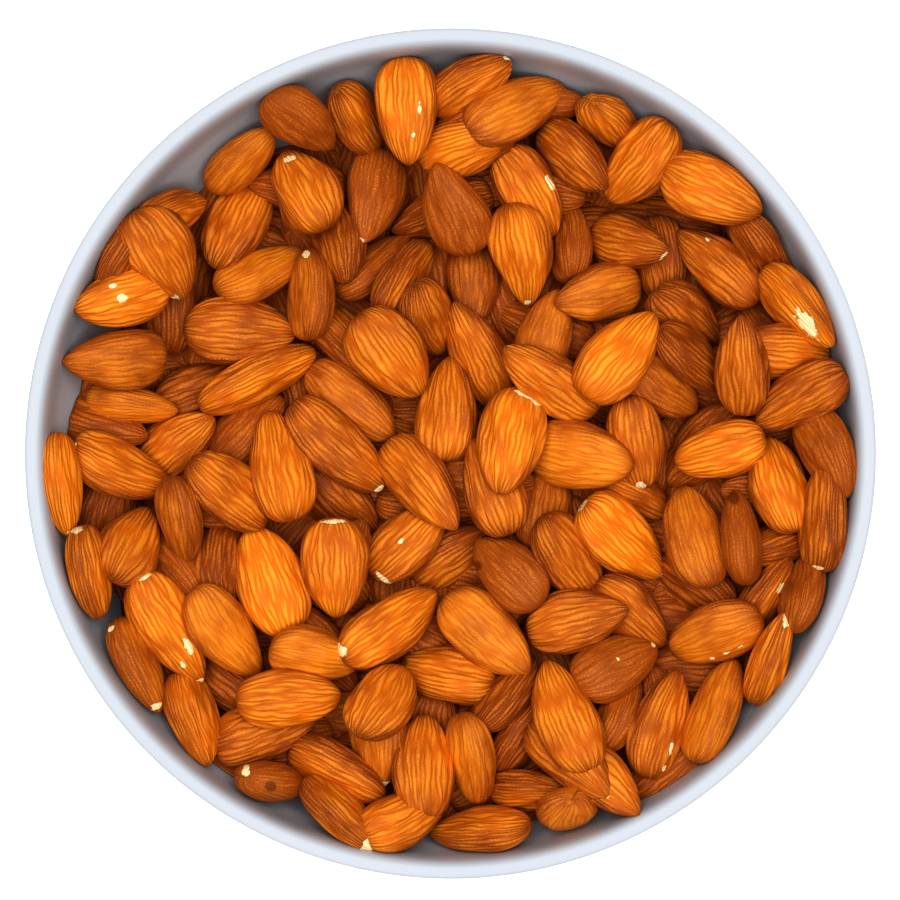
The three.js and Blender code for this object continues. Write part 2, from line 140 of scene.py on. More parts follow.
# The almonds that show, from the lowest to the topmost, as the photograph has them on the plane of the rim:
# east and north of the axis, the tip's heading, and the length and width that show, then how the almond looks.
# r: deep ridges, f: fine grain, m: matte brown, b: bright, d: dark, which on the lower, partly covered almonds is
# painted shade,
# t: cream tip, e: cream blunt end, c: a cream chip on the face, p: a pale worn edge
shown = [
    (-21, 11, -35, 24, 13, "fd"), (-23, -9.5, -50, 22, 12, "rd"), (0, -22, 30, 20, 11, "rd"),
    (20, -11, 75, 22, 11, "fd"), (24, -22, -50, 22, 11, "rd"), (-49, -22, 80, 20, 10, "rd"),
    (-58, -24, -40, 20, 12, "fd"), (-44, -50, -30, 20, 12, "rd"), (-53.5, 14, 25, 22, 12, "rd"),
    (-43, 5, 40, 20, 11, "fd"), (-60, 51.5, 22, 19, 10, "rb"), (-69.5, 44, 55, 17, 9, "rd"),
    (-17.5, 39.5, 40, 21, 9, "fd"), (-10.5, 37.5, 58, 22, 10, "rd"), (-5.5, 29.5, -62, 19, 10, "rd"),
    (4, 36, -85, 18, 12, "fd"), (-23, 44, -70, 18, 10, "rd"), (-2, 52.5, 207, 24, 9.5, "rd"),
    (26, 46, 100, 20, 8, "fd"), (46, 41, -75, 20, 10, "rd"), (50.5, 30, -45, 20, 11, "rd"),
    (45, 14.5, -30, 20, 11, "fd"), (50, 20, -35, 20, 11, "rd"), (38, -9, -25, 20, 10, "rd"),
    (80, 0, -60, 22, 10, "fd"), (69, -19, 20, 18, 8, "rd"), (67, -29, 60, 14, 8, "rn"),
    (74.5, -30, 80, 18, 7.5, "fd"), (53.5, -29, -30, 20, 11, "rd"), (38, -34, -35, 20, 11, "rd"),
    (35.5, -54.5, 60, 16, 8, "fd"), (12, -51, 50, 18, 8, "rd"), (14, -59, 60, 20, 11, "rd"),
    (20.5, 75, 0, 17, 10, "fd"), (67, 44, -50, 16, 10, "rd"), (5, 22, 120, 25.5, 11, "rn"),
    (-28.5, -42, -18, 20, 10.5, "fn"), (-21.5, 21.5, -52, 24, 11.5, "rn"), (8.5, -7, 110, 22, 13, "rn"),
    (-8, -19, 50, 22, 13, "rn"), (20.5, 25.5, 75, 19, 12, "mo"), (-44.8, 26, -8, 24, 14.5, "rn"),
    (-41, 38, 33, 22, 11, "fn"), (-47, -8.5, -38, 22, 11, "rn"), (40, 3, -85, 20.5, 12, "rn"),
    (12.8, -25, 141, 20, 13, "md"), (-39, -60, 12, 24, 11, "rn"), (-55, -57, -75, 22, 10, "rn"),
    (-66, -45.5, -60, 22, 9, "fn"), (-14.5, -61, -80, 20, 10, "fn"), (33, -70, -48, 22, 12, "rn"),
    (26, -64.5, -45, 24, 13, "rn"), (36, -46, 30, 20, 14, "md"), (38.5, 45, -20, 18, 12, "rn"),
    (16.5, 55.5, -55, 22, 12, "rn"), (35.3, 70.8, -48, 16.5, 10.3, "rn"), (-20, 70.5, -58, 17, 9, "rn"),
    (5.5, 78.5, 38, 20.5, 9.5, "rn"), (70.5, 21.5, -5, 18, 10, "rn"), (-10.5, -77.5, 30, 21, 12, "rn"),
    (-72, 21, 178, 23, 13.5, "fn"), (69.5, -6.5, 100, 22, 11.5, "rn"), (3.5, 65.5, 20, 13.5, 10.5, "rn"),
    (56, 55, -32, 23, 14, "rn"), (-57.5, 2.2, 30, 15.5, 13, "rn"), (-83, -7, -78, 22, 7.5, "rb"),
    (-77, -26, -75, 20, 7.5, "rn"), (-70.5, 34, 190, 21.5, 12.5, "rb"), (-67.5, 11, -5, 20, 8.8, "fb"),
    (-70.5, -4, -18, 24, 11.5, "rn"), (-61.5, 43, -55, 22, 15.5, "rn"), (-68.5, -19.8, 58, 19.5, 14, "rn"),
    (-56, -13.5, -88, 20, 8.5, "fn"), (-45, 47.5, 251, 21.5, 14, "rn"), (-41, 16, 32, 28, 11.5, "rb"),
    (-37.3, -3.5, 95, 25.5, 14.5, "rb"), (-38.5, -27, 113, 24.5, 15, "rb"), (-60, -38, -64, 27, 13.5, "rb"),
    (-48.2, -37.5, -49, 24.5, 13, "fn"), (-34, -51.5, 5, 22.5, 13, "rn"), (-23, -67.5, -20, 23, 10.5, "rn"),
    (-24, -77, -48, 22, 9.5, "rn"), (-38.3, -70.2, -15, 15, 9.8, "md"), (-24.3, -24.2, -88, 21.5, 14.8, "rn"),
    (-12, 21, -55, 22, 16, "rn"), (-24.5, 1, -46, 27, 13.5, "rn"), (0.3, 10.5, 83, 23, 14, "rn"),
    (28.5, 0.2, -3, 24, 15, "fn"), (21, 16.5, 149, 25, 12.5, "rn"), (-6, -7.5, -55, 25.5, 11.8, "rn"),
    (12.5, 1.8, 252, 24.5, 14.3, "rb"), (-0.5, -47.5, 165, 22, 10.5, "rn"), (-13.8, -37.3, 29, 26, 12.5, "rb"),
    (8.4, -38.5, -48, 24.5, 14.5, "fn"), (-14.5, -53, 55, 18, 14, "rn"), (-5.5, -67, 85, 23, 11.5, "rn"),
    (4.5, -64, -88, 21, 9.5, "fn"), (7, -80.3, 180, 23, 10, "rn"), (16, -71, 0, 17.5, 9, "rn"),
    (24.6, -76.5, 250, 13, 10.8, "fb"), (24.5, -56, 105, 26, 13.5, "rn"), (36, -18.5, -40, 24.5, 14.5, "rb"),
    (28, -35.5, 20, 22.5, 13.5, "rn"), (44.5, -57, 78, 24, 11, "rn"), (56.5, -55, 68, 24.5, 11.5, "fb"),
    (68.7, -44, 78, 22, 9.5, "rn"), (57, -37, 208, 21.5, 11.5, "fn"), (52, -18.5, 98, 23.5, 13.5, "fn"),
    (61, -17.5, 100, 21, 8, "md"), (57, 0.8, 190, 20.5, 12, "rb"), (74.5, 10.5, 205, 22.5, 12, "rn"),
    (79.5, -12.5, 82, 24.5, 10.5, "rn"), (62.3, 19.5, 99, 22.5, 12, "rn"), (73.5, 31, -50, 22.5, 10.5, "rb"),
    (36, 20.5, 48, 24, 14, "rb"), (57.5, 40.5, 143, 23.5, 12, "rn"), (41, 60.5, 225, 21.5, 13.5, "rn"),
    (31.5, 35, 200, 18.5, 13, "fn"), (16, 43, -86, 23.5, 13.5, "rn"), (27, 62.5, -38, 20.5, 11, "rn"),
    (13.5, 72.5, 33, 25, 13.5, "fn"), (-9, 72.5, -82, 23, 14, "rb"), (-31.7, 70.8, -32, 18.5, 11.3, "md"),
    (-44.5, 63.5, 38, 18, 10, "fn"), (-31, 56, 115, 17.5, 14.5, "rn"), (-17.5, 54.5, -105, 22, 13, "md"),
    (1, 53, 108, 21.5, 14, "md"), (-30, 33.5, 95, 18.5, 11.5, "fn"),
]


def heapLevel(x, y):
    return heap["level"] + heap["slope"] * (x - y)


halfGrid = math.ceil(bowl["rimRadius"])
gridLine = np.arange(-halfGrid, halfGrid + 1)
gridX, gridY = np.meshgrid(gridLine, gridLine)


def wallHeight(radius):
    reach = radius + heap["clearance"]
    wall = np.where(reach < mouthRadius, innerHeight(np.minimum(reach, mouthRadius)) + heap["clearance"],
                    lipLevel + heap["steepness"] * (reach - mouthRadius))
    return np.where(reach < bowl["floorRadius"], floorLevel + heap["clearance"], wall)


heights = np.maximum(heapLevel(gridX, gridY) - heap["bedFloorDepth"], wallHeight(np.sqrt(gridX**2 + gridY**2)))


def axesOf(almond):
    # the directions of its length, towards the tip, of its width and of its thickness
    ch, sh = math.cos(almond["heading"]), math.sin(almond["heading"])
    cp, sp = math.cos(almond["pitch"]), math.sin(almond["pitch"])
    cr, sr = math.cos(almond["roll"]), math.sin(almond["roll"])
    return np.array([
        [ch * cp, sh * cp, sp],
        [-sh * cr - ch * sp * sr, ch * cr - sh * sp * sr, cp * sr],
        [sh * sr - ch * sp * cr, -ch * sr - sh * sp * cr, cp * cr],
    ])


# Two ellipsoids stand in for an almond while it settles: how far along it each one's middle is, and its
# half length, half width and half thickness, as shares of the almond's own.
lobes = [(-0.1, 0.37, 0.48, 0.48), (0.13, 0.35, 0.34, 0.37)]


def overCells(almond):
    # for each lobe: the cells under it, and its lower and upper face over the almond's middle
    u, v, w = axesOf(almond)
    found = []
    for along, lengthShare, widthShare, thicknessShare in lobes:
        size = (lengthShare * almond["length"], widthShare * almond["width"], thicknessShare * almond["thickness"])
        qu, qv, qw = (1 / (half * half) for half in size)
        reach = [math.hypot(size[0] * u[k], size[1] * v[k], size[2] * w[k]) for k in (0, 1)]
        middle = u * along * almond["length"]
        x0, y0 = almond["x"] + middle[0], almond["y"] + middle[1]
        columns = slice(max(math.ceil(x0 - reach[0]), -halfGrid) + halfGrid,
                        min(math.floor(x0 + reach[0]), halfGrid) + halfGrid + 1)
        rows = slice(max(math.ceil(y0 - reach[1]), -halfGrid) + halfGrid,
                     min(math.floor(y0 + reach[1]), halfGrid) + halfGrid + 1)
        dx = gridLine[columns][None, :] - x0
        dy = gridLine[rows][:, None] - y0
        du, dv, dw = (dx * axis[0] + dy * axis[1] for axis in (u, v, w))
        a = u[2] * u[2] * qu + v[2] * v[2] * qv + w[2] * w[2] * qw
        b = du * (u[2] * qu) + dv * (v[2] * qv) + dw * (w[2] * qw)
        inside = b * b - a * (du * du * qu + dv * dv * qv + dw * dw * qw - 1)
        half = np.sqrt(np.maximum(inside, 0))
        below = np.where(inside > 0, middle[2] + (-b - half) / a, np.inf)
        above = np.where(inside > 0, middle[2] + (-b + half) / a, -np.inf)
        found.append(((rows, columns), below, above))
    return found


def restLevel(almond):
    return max([0] + [float((heights[cells] - below).max()) for cells, below, _ in overCells(almond) if below.size])


def settle(almond, freedom):
    # small moves, halved in each round, that let it lie lower; a move sideways has to earn its length
    start = dict(almond)

    def cost(trial):
        moved = abs(trial["x"] - start["x"]) + abs(trial["y"] - start["y"])
        return restLevel(trial) + heap["sidewaysCost"] * moved

    best = cost(almond)
    for turn in range(heap["rounds"]):
        for key, limit in freedom.items():
            for way in (1, -1):
                trial = dict(almond)
                trial[key] += way * limit * heap["firstStep"] / 2**turn
                if abs(trial[key] - start[key]) > limit:
                    continue
                level = cost(trial)
                if level < best - 1e-6:
                    best = level
                    almond.update(trial)
                    break
    almond["z"] = restLevel(almond) - heap["sink"]
    return almond


almonds = []


def lay(almond):
    for cells, _, above in overCells(almond):
        heights[cells] = np.maximum(heights[cells], almond["z"] + above)
    almonds.append(almond)


lottery = {"state": heap["seed"]}


def draw(low, high):
    lottery["state"] = (lottery["state"] * 1664525 + 1013904223) % 2**32
    return low + (high - low) * lottery["state"] / 2**32


def hiddenAlmond(x, y):
    size = draw(*heap["sizeRange"])
    almond = {"x": x, "y": y, "heading": draw(0, fullTurn), "pitch": 0, "roll": 0, "look": "",
              "length": heap["kernelLength"] * size, "width": heap["kernelWidth"] * size,
              "thickness": heap["kernelThickness"] * size}
    return settle(almond, heap["hiddenFreedom"])


def layBed():
    # spread evenly by two steps, round the bowl and out from its axis, that never fall in line
    for i in range(1, heap["bedTries"] + 1):
        radius = (mouthRadius - heap["kernelWidth"] / 2) * math.sqrt(i * heap["outwardStep"] % 1)
        turn = fullTurn * (i * heap["turnStep"] % 1)
        almond = hiddenAlmond(radius * math.cos(turn), radius * math.sin(turn))
        if almond["z"] < heapLevel(almond["x"], almond["y"]) - heap["bedDepth"]:
            lay(almond)


def shownAlmond(row):
    # one that shows short stands up at one end, one that shows narrow lies on an edge: the lowest way is taken
    x, y, seenLength, seenWidth = (row[k] * heap["rimPlaneScale"] for k in (0, 1, 3, 4))
    length = max(seenLength, heap["shortest"])
    width = heap["kernelWidth"] if seenWidth < heap["narrowest"] else seenWidth
    thickness = heap["kernelThickness"] * (1 + width / heap["kernelWidth"]) / 2
    flatness = (seenWidth**2 - thickness**2) / (width**2 - thickness**2)
    roll = math.acos(math.sqrt(min(1, max(0, flatness))))
    pitch = math.acos(seenLength / length)
    lowest = None
    for tipUp, lean in ((pitch, roll), (pitch, -roll), (-pitch, roll), (-pitch, -roll)):
        almond = {"x": x, "y": y, "heading": math.radians(row[2]), "pitch": tipUp, "roll": lean,
                  "length": length, "width": width, "thickness": thickness, "look": row[5]}
        settle(almond, heap["shownFreedom"])
        if lowest is None or almond["z"] < lowest["z"] - 1e-6:
            lowest = almond
    return lowest


def upReach(almond):
    u, v, w = axesOf(almond)
    return math.hypot(almond["length"] * u[2], almond["width"] * v[2], almond["thickness"] * w[2]) / 2


def layShown():
    # where one would lie too deep, hidden ones go under it first
    for i, row in enumerate(shown):
        deepest = heap["deepestCovered"] if i < heap["partlyCovered"] else heap["deepestTopmost"]
        almond = shownAlmond(row)
        for _ in range(heap["mostUnder"]):
            if almond["z"] >= heapLevel(almond["x"], almond["y"]) - deepest:
                break
            lay(hiddenAlmond(almond["x"], almond["y"]))
            almond = shownAlmond(row)
        almond["z"] = min(almond["z"], heapLevel(almond["x"], almond["y"]) + heap["highest"],
                          bowl["height"] - upReach(almond))
        almond["shown"] = i
        lay(almond)


def layDeep():
    # a loose layer just under what shows, so that the gaps end on almonds, as in any heap
    rows = math.ceil(deep["reach"] / deep["spacing"] / 0.866)
    for j in range(-rows, rows + 1):
        for i in range(-rows, rows + 1):
            x = deep["spacing"] * (i + j % 2 / 2) + draw(-1, 1) * deep["jitter"]
            y = deep["spacing"] * j * 0.866 + draw(-1, 1) * deep["jitter"]
            size = draw(*heap["sizeRange"])
            almond = {"x": x, "y": y, "z": heapLevel(x, y) - deep["below"] + draw(-1, 1) * deep["unevenness"],
                      "heading": draw(0, fullTurn), "pitch": draw(-0.3, 0.3), "roll": draw(-0.6, 0.6), "look": "",
                      "length": heap["kernelLength"] * size, "width": heap["kernelWidth"] * size,
                      "thickness": heap["kernelThickness"] * size, "deep": True}
            if math.hypot(x, y) < deep["reach"]:
                almonds.append(almond)
    for x, y, turn, under in glimpsed:
        almonds.append({"x": x, "y": y, "z": heapLevel(x, y) - under, "heading": math.radians(turn), "pitch": 0.1,
                        "roll": draw(-0.5, 0.5), "look": "", "length": heap["kernelLength"], "deep": True,
                        "width": heap["kernelWidth"], "thickness": heap["kernelThickness"]})


# almonds of which only a little shows in a gap: east and north, heading, and how far below the heap's level
glimpsed = [(-77, 6.5, -15, 2), (-75, -12.5, 80, 4), (-79, 12, 60, 5), (-72, 52, 45, 3), (-62, -52, -50, 4),
            (-49, -66, -35, 3), (48, -68, 40, 4), (78, 38, -60, 4), (10, 60, 20, 7), (-62, 33, 90, 5), (-53, 55, 60, 9)]
deep = {"spacing": 11.5, "below": 13.5, "jitter": 2, "unevenness": 1.2, "reach": 83}  # mm

layBed()
layShown()
layDeep()
print("heap:", len(almonds), "almonds laid,", len(shown), "of them read off the photograph")


# the almonds' own shape

almondShape = {
    "taper": (0.54, 0.76),  # how sharply the outline runs to the tip, between these
    "bluntness": (0.38, 0.46),  # and how sharply to the blunt end
    "bend": 0.045,  # of its width, sideways
    "lumps": 0.03,  # of its half width
    "flutes": 0.12,  # mm, the broad waves that run along it under the ridges
    "meshes": {"shown": (32, 60), "lower": (26, 48), "deep": (14, 36), "buried": (12, 28)},  # rings along it, points round it
    "topDetail": 0.45,  # the points crowd towards the side that faces up
    "seam": 0.45,  # painted shade: how much darker the skin is painted along the almond's edge and at its ends, where its sides turn from the light overhead
    "wallGap": 0.3, "mostUpwards": 5, "mostInwards": 0.5,  # mm
    "converge": 0.6,  # how far the ridges draw together at the ends: 1 is all the way
}
skinLooks = {  # depth of the ridges, brightness of the skin
    "r": (1.0, 0.5), "f": (0.5, 0.45), "m": (0.3, 0.2),
    # d darkens the skin: painted shade on the lower, partly covered almonds, a browner skin on the topmost ones
    "b": 0.3, "n": 0.0, "d": -0.35, "o": -0.1,
}

# Chips and spots: the almond by its place in the list above, how far along it towards the tip and across it
# as shares of half its length and half its width, and how far it reaches along and across, in mm.
creamChips = [
    (-83, -7, 0.95, 0, 0.6, 1.4), (-77, -26, -0.94, 0, 0.7, 1.6), (-70.5, 34, -0.04, 0.06, 1.3, 1.0),
    (-70.5, 34, 0.1, -0.4, 0.9, 0.6), (-70.5, -4, -0.9, 0.1, 0.6, 1.8), (-56, -13.5, 0.92, 0, 0.8, 1.4),
    (-60, -38, 0.37, 0.3, 2.2, 0.9), (-60, -38, 0.58, -0.12, 1.0, 0.5), (-60, -38, -0.92, 0, 0.6, 1.6),
    (-60, -38, 0.95, 0.15, 0.5, 1.2), (-66, -45.5, 0.86, -0.2, 0.7, 1.6), (-66, -45.5, -0.88, -0.2, 0.6, 1.0), (-24, -77, 0.8, 0.1, 1.3, 2.0),
    (-38.3, -70.2, -0.8, 0.3, 1.0, 1.2), (-24.5, 1, 0.95, 0, 0.6, 1.2), (-24.3, -24.2, -0.93, 0, 0.5, 2.6),
    (12.5, 1.8, -0.86, 0.05, 0.7, 2.6), (12.5, 1.8, -0.78, 0.4, 0.5, 1.4), (-8, -19, -0.88, -0.2, 0.6, 2.4),
    (-8, -19, -0.08, 0.16, 0.9, 0.5), (-61.5, 43, 0.85, -0.4, 0.7, 1.4), (-13.8, -37.3, -0.88, 0.1, 1.2, 1.8), (-14.5, -61, 0.93, 0, 0.9, 1.4),
    (16, -71, 0.9, 0, 0.6, 1.4), (26, -64.5, 0.93, 0, 0.6, 1.3), (36, -18.5, 0.95, 0, 0.5, 1.0),
    (36, -18.5, -0.95, 0, 0.5, 1.6), (36, -46, 0.1, 0.2, 0.4, 0.4), (36, -46, 0.93, 0, 0.5, 0.9), (44.5, -57, -0.38, -0.5, 1.6, 0.5),
    (44.5, -57, -0.75, -0.4, 0.7, 0.4), (68.7, -44, 0.78, -0.25, 1.8, 1.0), (57, -37, 0, 0.8, 0.7, 0.4),
    (57, -37, 0.3, 0.75, 0.6, 0.4), (57, -37, -0.3, 0.8, 0.6, 0.4), (79.5, -12.5, -0.93, 0, 0.5, 1.5),
    (67, -29, 0.4, -0.35, 1.4, 0.9), (73.5, 31, 0.33, -0.25, 3.8, 1.5), (40, 3, 0.93, 0, 0.9, 1.4),
    (57.5, 40.5, 0.45, -0.5, 0.6, 0.4), (38.5, 45, 0.36, 0.85, 1.2, 0.5), (38.5, 45, 0.88, -0.2, 0.8, 1.6),
    (16, 43, 0.85, 0.1, 0.5, 0.9), (16.5, 55.5, 0.1, 0.8, 1.8, 0.7), (5.5, 78.5, 0.92, 0, 0.8, 1.2),
    (-9, 72.5, 0, 0.4, 1.4, 0.5), (-9, 72.5, 0.5, 0.1, 0.8, 0.5), (-31.7, 70.8, 0.93, 0, 0.5, 0.8),
    (-31, 56, 0.85, 0, 0.8, 1.4), (-17.5, 54.5, 0.92, 0, 0.6, 1.2), (1, 53, 0.2, 0.1, 0.5, 0.4),
    (1, 53, -0.2, -0.2, 0.4, 0.4), (-30, 33.5, 0.92, 0, 0.9, 1.0),
]
darkSpots = [
    (61, -17.5, 0.8, 0, 1.6, 1.4), (12.8, -25, 0.6, 0.5, 1.2, 1.2), (-0.5, -47.5, 0.85, 0, 0.9, 1.2),
    (-38.3, -70.2, 0, 0, 1.4, 1.4),
]


def outline(along, taper, bluntness):
    shape = (1 - along)**taper * (1 + along)**bluntness
    peak = (bluntness - taper) / (bluntness + taper)
    return shape / ((1 - peak)**taper * (1 + peak)**bluntness)


def almondMesh(almond, rings, around, luck):
    # the points of one almond in the bowl, its faces, and what its skin is like at each point
    u, v, w = axesOf(almond)
    # almonds with no look of their own lie deep in the heap: their skin is painted darker, as painted shade
    depth, tone = skinLooks[almond["look"][0]] if almond["look"] else (0.8, -0.3)
    tone += skinLooks[almond["look"][1]] if almond["look"] else 0
    halfLength, halfWidth, halfThickness = (almond[k] / 2 for k in ("length", "width", "thickness"))
    taper, bluntness = luck.uniform(*almondShape["taper"]), luck.uniform(*almondShape["bluntness"])
    along = -np.cos(math.pi * np.arange(1, rings) / rings)[:, None]
    facing = math.atan2(w[2], v[2])  # the way round it that faces up
    step = fullTurn * np.arange(around) / around - math.pi
    turn = (facing + step - almondShape["topDetail"] * np.sin(step))[None, :]
    girth = outline(along, taper, bluntness)
    plump = outline(along, taper * 0.85, bluntness * 0.9)
    across = np.sign(np.cos(turn)) * abs(np.cos(turn))**0.94
    upward = np.sign(np.sin(turn)) * abs(np.sin(turn))**0.9
    turn2 = turn + 0 * along
    lump = sum(luck.uniform(-1, 1) * np.sin(m * turn2 + n * along + luck.uniform(0, fullTurn))
               for m, n in ((2, 2), (3, 4), (1, 5), (4, 3)))
    swell = 1 + almondShape["lumps"] * lump
    flutes = sum(luck.uniform(0.3, 1) * np.sin(m * turn2 + 1.5 * np.sin(2 * along) + luck.uniform(0, fullTurn))
                 for m in (7, 11))
    dent = almondShape["flutes"] * (0.4 + depth) * flutes * girth
    bend = almondShape["bend"] * luck.uniform(-1, 1) * (1 - along**2) * almond["width"]
    x = halfLength * along + 0 * turn
    y = bend + across * (halfWidth * girth * swell - dent)
    z = upward * (halfThickness * plump * swell - dent)
    poles = np.array([[-halfLength, 0, 0], [halfLength, 0, 0]])
    local = np.concatenate([poles[:1], np.stack([x, y, z], -1).reshape(-1, 3), poles[1:]])

    # chips and spots, as they lie on the side that shows from above
    lift = {}
    for kind, spots in (("cream", creamChips), ("dark", darkSpots)):
        lift[kind] = np.zeros(len(local))
        for east, north, share, side, reachAlong, reachAcross in spots:
            if almond.get("key") != (east, north):
                continue
            heading = math.radians(almond["seenHeading"])
            ahead = np.array([math.cos(heading), math.sin(heading)])
            left = np.array([-ahead[1], ahead[0]])
            target = share * almond["seenLength"] / 2 * ahead + side * almond["seenWidth"] / 2 * left
            seen = local @ np.stack([u, v, w])
            upper = (local[:, 1] * v[2] / halfWidth**2 + local[:, 2] * w[2] / halfThickness**2
                     + local[:, 0] * u[2] / halfLength**2) > -0.02
            away = seen[:, :2] - target
            gap = np.hypot(away @ ahead / reachAlong, away @ left / reachAcross)
            lift[kind] = np.maximum(lift[kind], np.where(upper, np.exp(-gap**2 * 0.7), 0))

    placed = local @ np.stack([u, v, w]) + [almond["x"], almond["y"], almond["z"]]
    placed[:, 2] = np.maximum(placed[:, 2], floorLevel + heap["clearance"])
    # none of it goes into the bowl's wall: it leans higher up the wall, then moves inwards, and what is still
    # too far out is pressed in
    highest = min(almondShape["mostUpwards"], bowl["height"] - 0.5 - placed[:, 2].max()) if almond["look"] else 0
    for rise in np.linspace(0, max(highest, 0), 9):
        room = np.interp(placed[:, 2] + rise, *np.array(innerWall)[:, ::-1].T) - almondShape["wallGap"]
        over = max(0, float((np.hypot(placed[:, 0], placed[:, 1]) - room).max()))
        if over == 0:
            break
    placed[:, 2] += rise
    outward = np.array([almond["x"], almond["y"]]) / max(math.hypot(almond["x"], almond["y"]), 1)
    placed[:, :2] -= min(over, almondShape["mostInwards"]) * outward
    reach = np.hypot(placed[:, 0], placed[:, 1])
    placed[:, :2] *= np.minimum(1, room / np.maximum(reach, 1))[:, None]
    flat = lambda field: np.concatenate([[0.3], field.ravel(), [0.3]])
    ownPlace = np.stack([
        flat(x), flat(6 * np.cos(turn2)), flat(4.5 * np.sin(turn2))], -1) + luck.uniform(-500, 500, 3)
    # painted shade: the skin is made darker along the almond's edge and at its ends, where its sides turn from the
    # light
    seam = almondShape["seam"] * flat(np.maximum(abs(np.cos(turn2))**5, abs(along)**6 + 0 * turn))
    arc = (step[None, :] + 0 * along) * (halfWidth + halfThickness) / 2 * girth**(1 - almondShape["converge"])
    ridgePlace = np.stack([flat(x), flat(arc), flat(0 * arc)], -1) + luck.uniform(0, 500, 3)
    corner = 1 + np.arange(around)
    nextCorner = 1 + (np.arange(around) + 1) % around
    offsets = around * np.arange(rings - 2)[:, None]
    quads = np.stack([corner + offsets, nextCorner + offsets, nextCorner + offsets + around,
                      corner + offsets + around], -1).reshape(-1, 4)
    last = len(local) - 1
    caps = np.concatenate([
        np.stack([np.zeros(around, int), nextCorner, corner], -1),
        np.stack([corner + around * (rings - 2), nextCorner + around * (rings - 2), np.full(around, last)], -1)])
    marks = {"ridgePlace": ridgePlace, "cream": lift["cream"], "dark": lift["dark"],
             "tone": tone + luck.uniform(-0.2, 0.2) - seam, "ownPlace": ownPlace,
             "ridged": np.full(len(local), depth)}
    return placed, quads, caps, marks


def addAlmonds(name, group, rings, around, material):
    points, quads, caps, marks, start = [], [], [], [], 0
    for almond in group:
        luck = np.random.default_rng(almond["number"])
        placed, own, ends, field = almondMesh(almond, rings, around, luck)
        points.append(placed)
        quads.append(own + start)
        caps.append(ends + start)
        marks.append(field)
        start += len(placed)
    faces = np.concatenate(quads), np.concatenate(caps)
    mesh = bpy.data.meshes.new(name)
    mesh.vertices.add(start)
    mesh.vertices.foreach_set("co", (np.concatenate(points) * mm).ravel())
    loops = np.concatenate([faces[0].ravel(), faces[1].ravel()])
    mesh.loops.add(len(loops))
    mesh.loops.foreach_set("vertex_index", loops)
    starts = np.concatenate([4 * np.arange(len(faces[0])), 4 * len(faces[0]) + 3 * np.arange(len(faces[1]))])
    mesh.polygons.add(len(starts))
    mesh.polygons.foreach_set("loop_start", starts)
    mesh.polygons.foreach_set("use_smooth", [True] * len(starts))
    for key in marks[0]:
        vector = marks[0][key].ndim == 2
        layer = mesh.attributes.new(key, "FLOAT_VECTOR" if vector else "FLOAT", "POINT")
        layer.data.foreach_set("vector" if vector else "value", np.concatenate([m[key] for m in marks]).ravel())
    mesh.update(calc_edges=True)
    mesh.validate()
    mesh.materials.append(material)
    piece = bpy.data.objects.new(name, mesh)
    bpy.context.collection.objects.link(piece)
    print(name, len(group), "almonds,", 2 * len(faces[0]) + len(faces[1]), "triangles")
    return piece


# raw almond skin: dried and brushed by the sheller, so it is matt, with a bright crest on each ridge,
# deep orange-brown painted shade in the grooves, and a pale dust on what stands out that is partly a painted highlight;
# cream kernel shows where it is chipped
almondSkin = {
    "crest": "#F29D2C", "brownAndShadedCrest": "#AE5E1A", "groove": "#D87413", "brownAndShadedGroove": "#85400C",
    "dust": "#FBB860", "kernel": "#F3D9A8", "scar": "#3A1A08",
    "roughness": 0.55, "ior": 1.45, "specular": 0.22,
    "sheen": 0.08, "sheenRoughness": 0.4, "sheenTint": "#F2B47C",
    "ridgeSpacing": 1.6, "ridgeLength": 12, "ridgeSway": 2.0, "ridgeHeight": 0.2,  # mm
    "fineSpacing": 0.7, "fineLength": 6, "fineHeight": 0.035,  # mm
    "grain": 0.3, "grainHeight": 0.04, "blotch": 7, "ragged": 1.4, "chipDepth": 0.2,  # mm
}


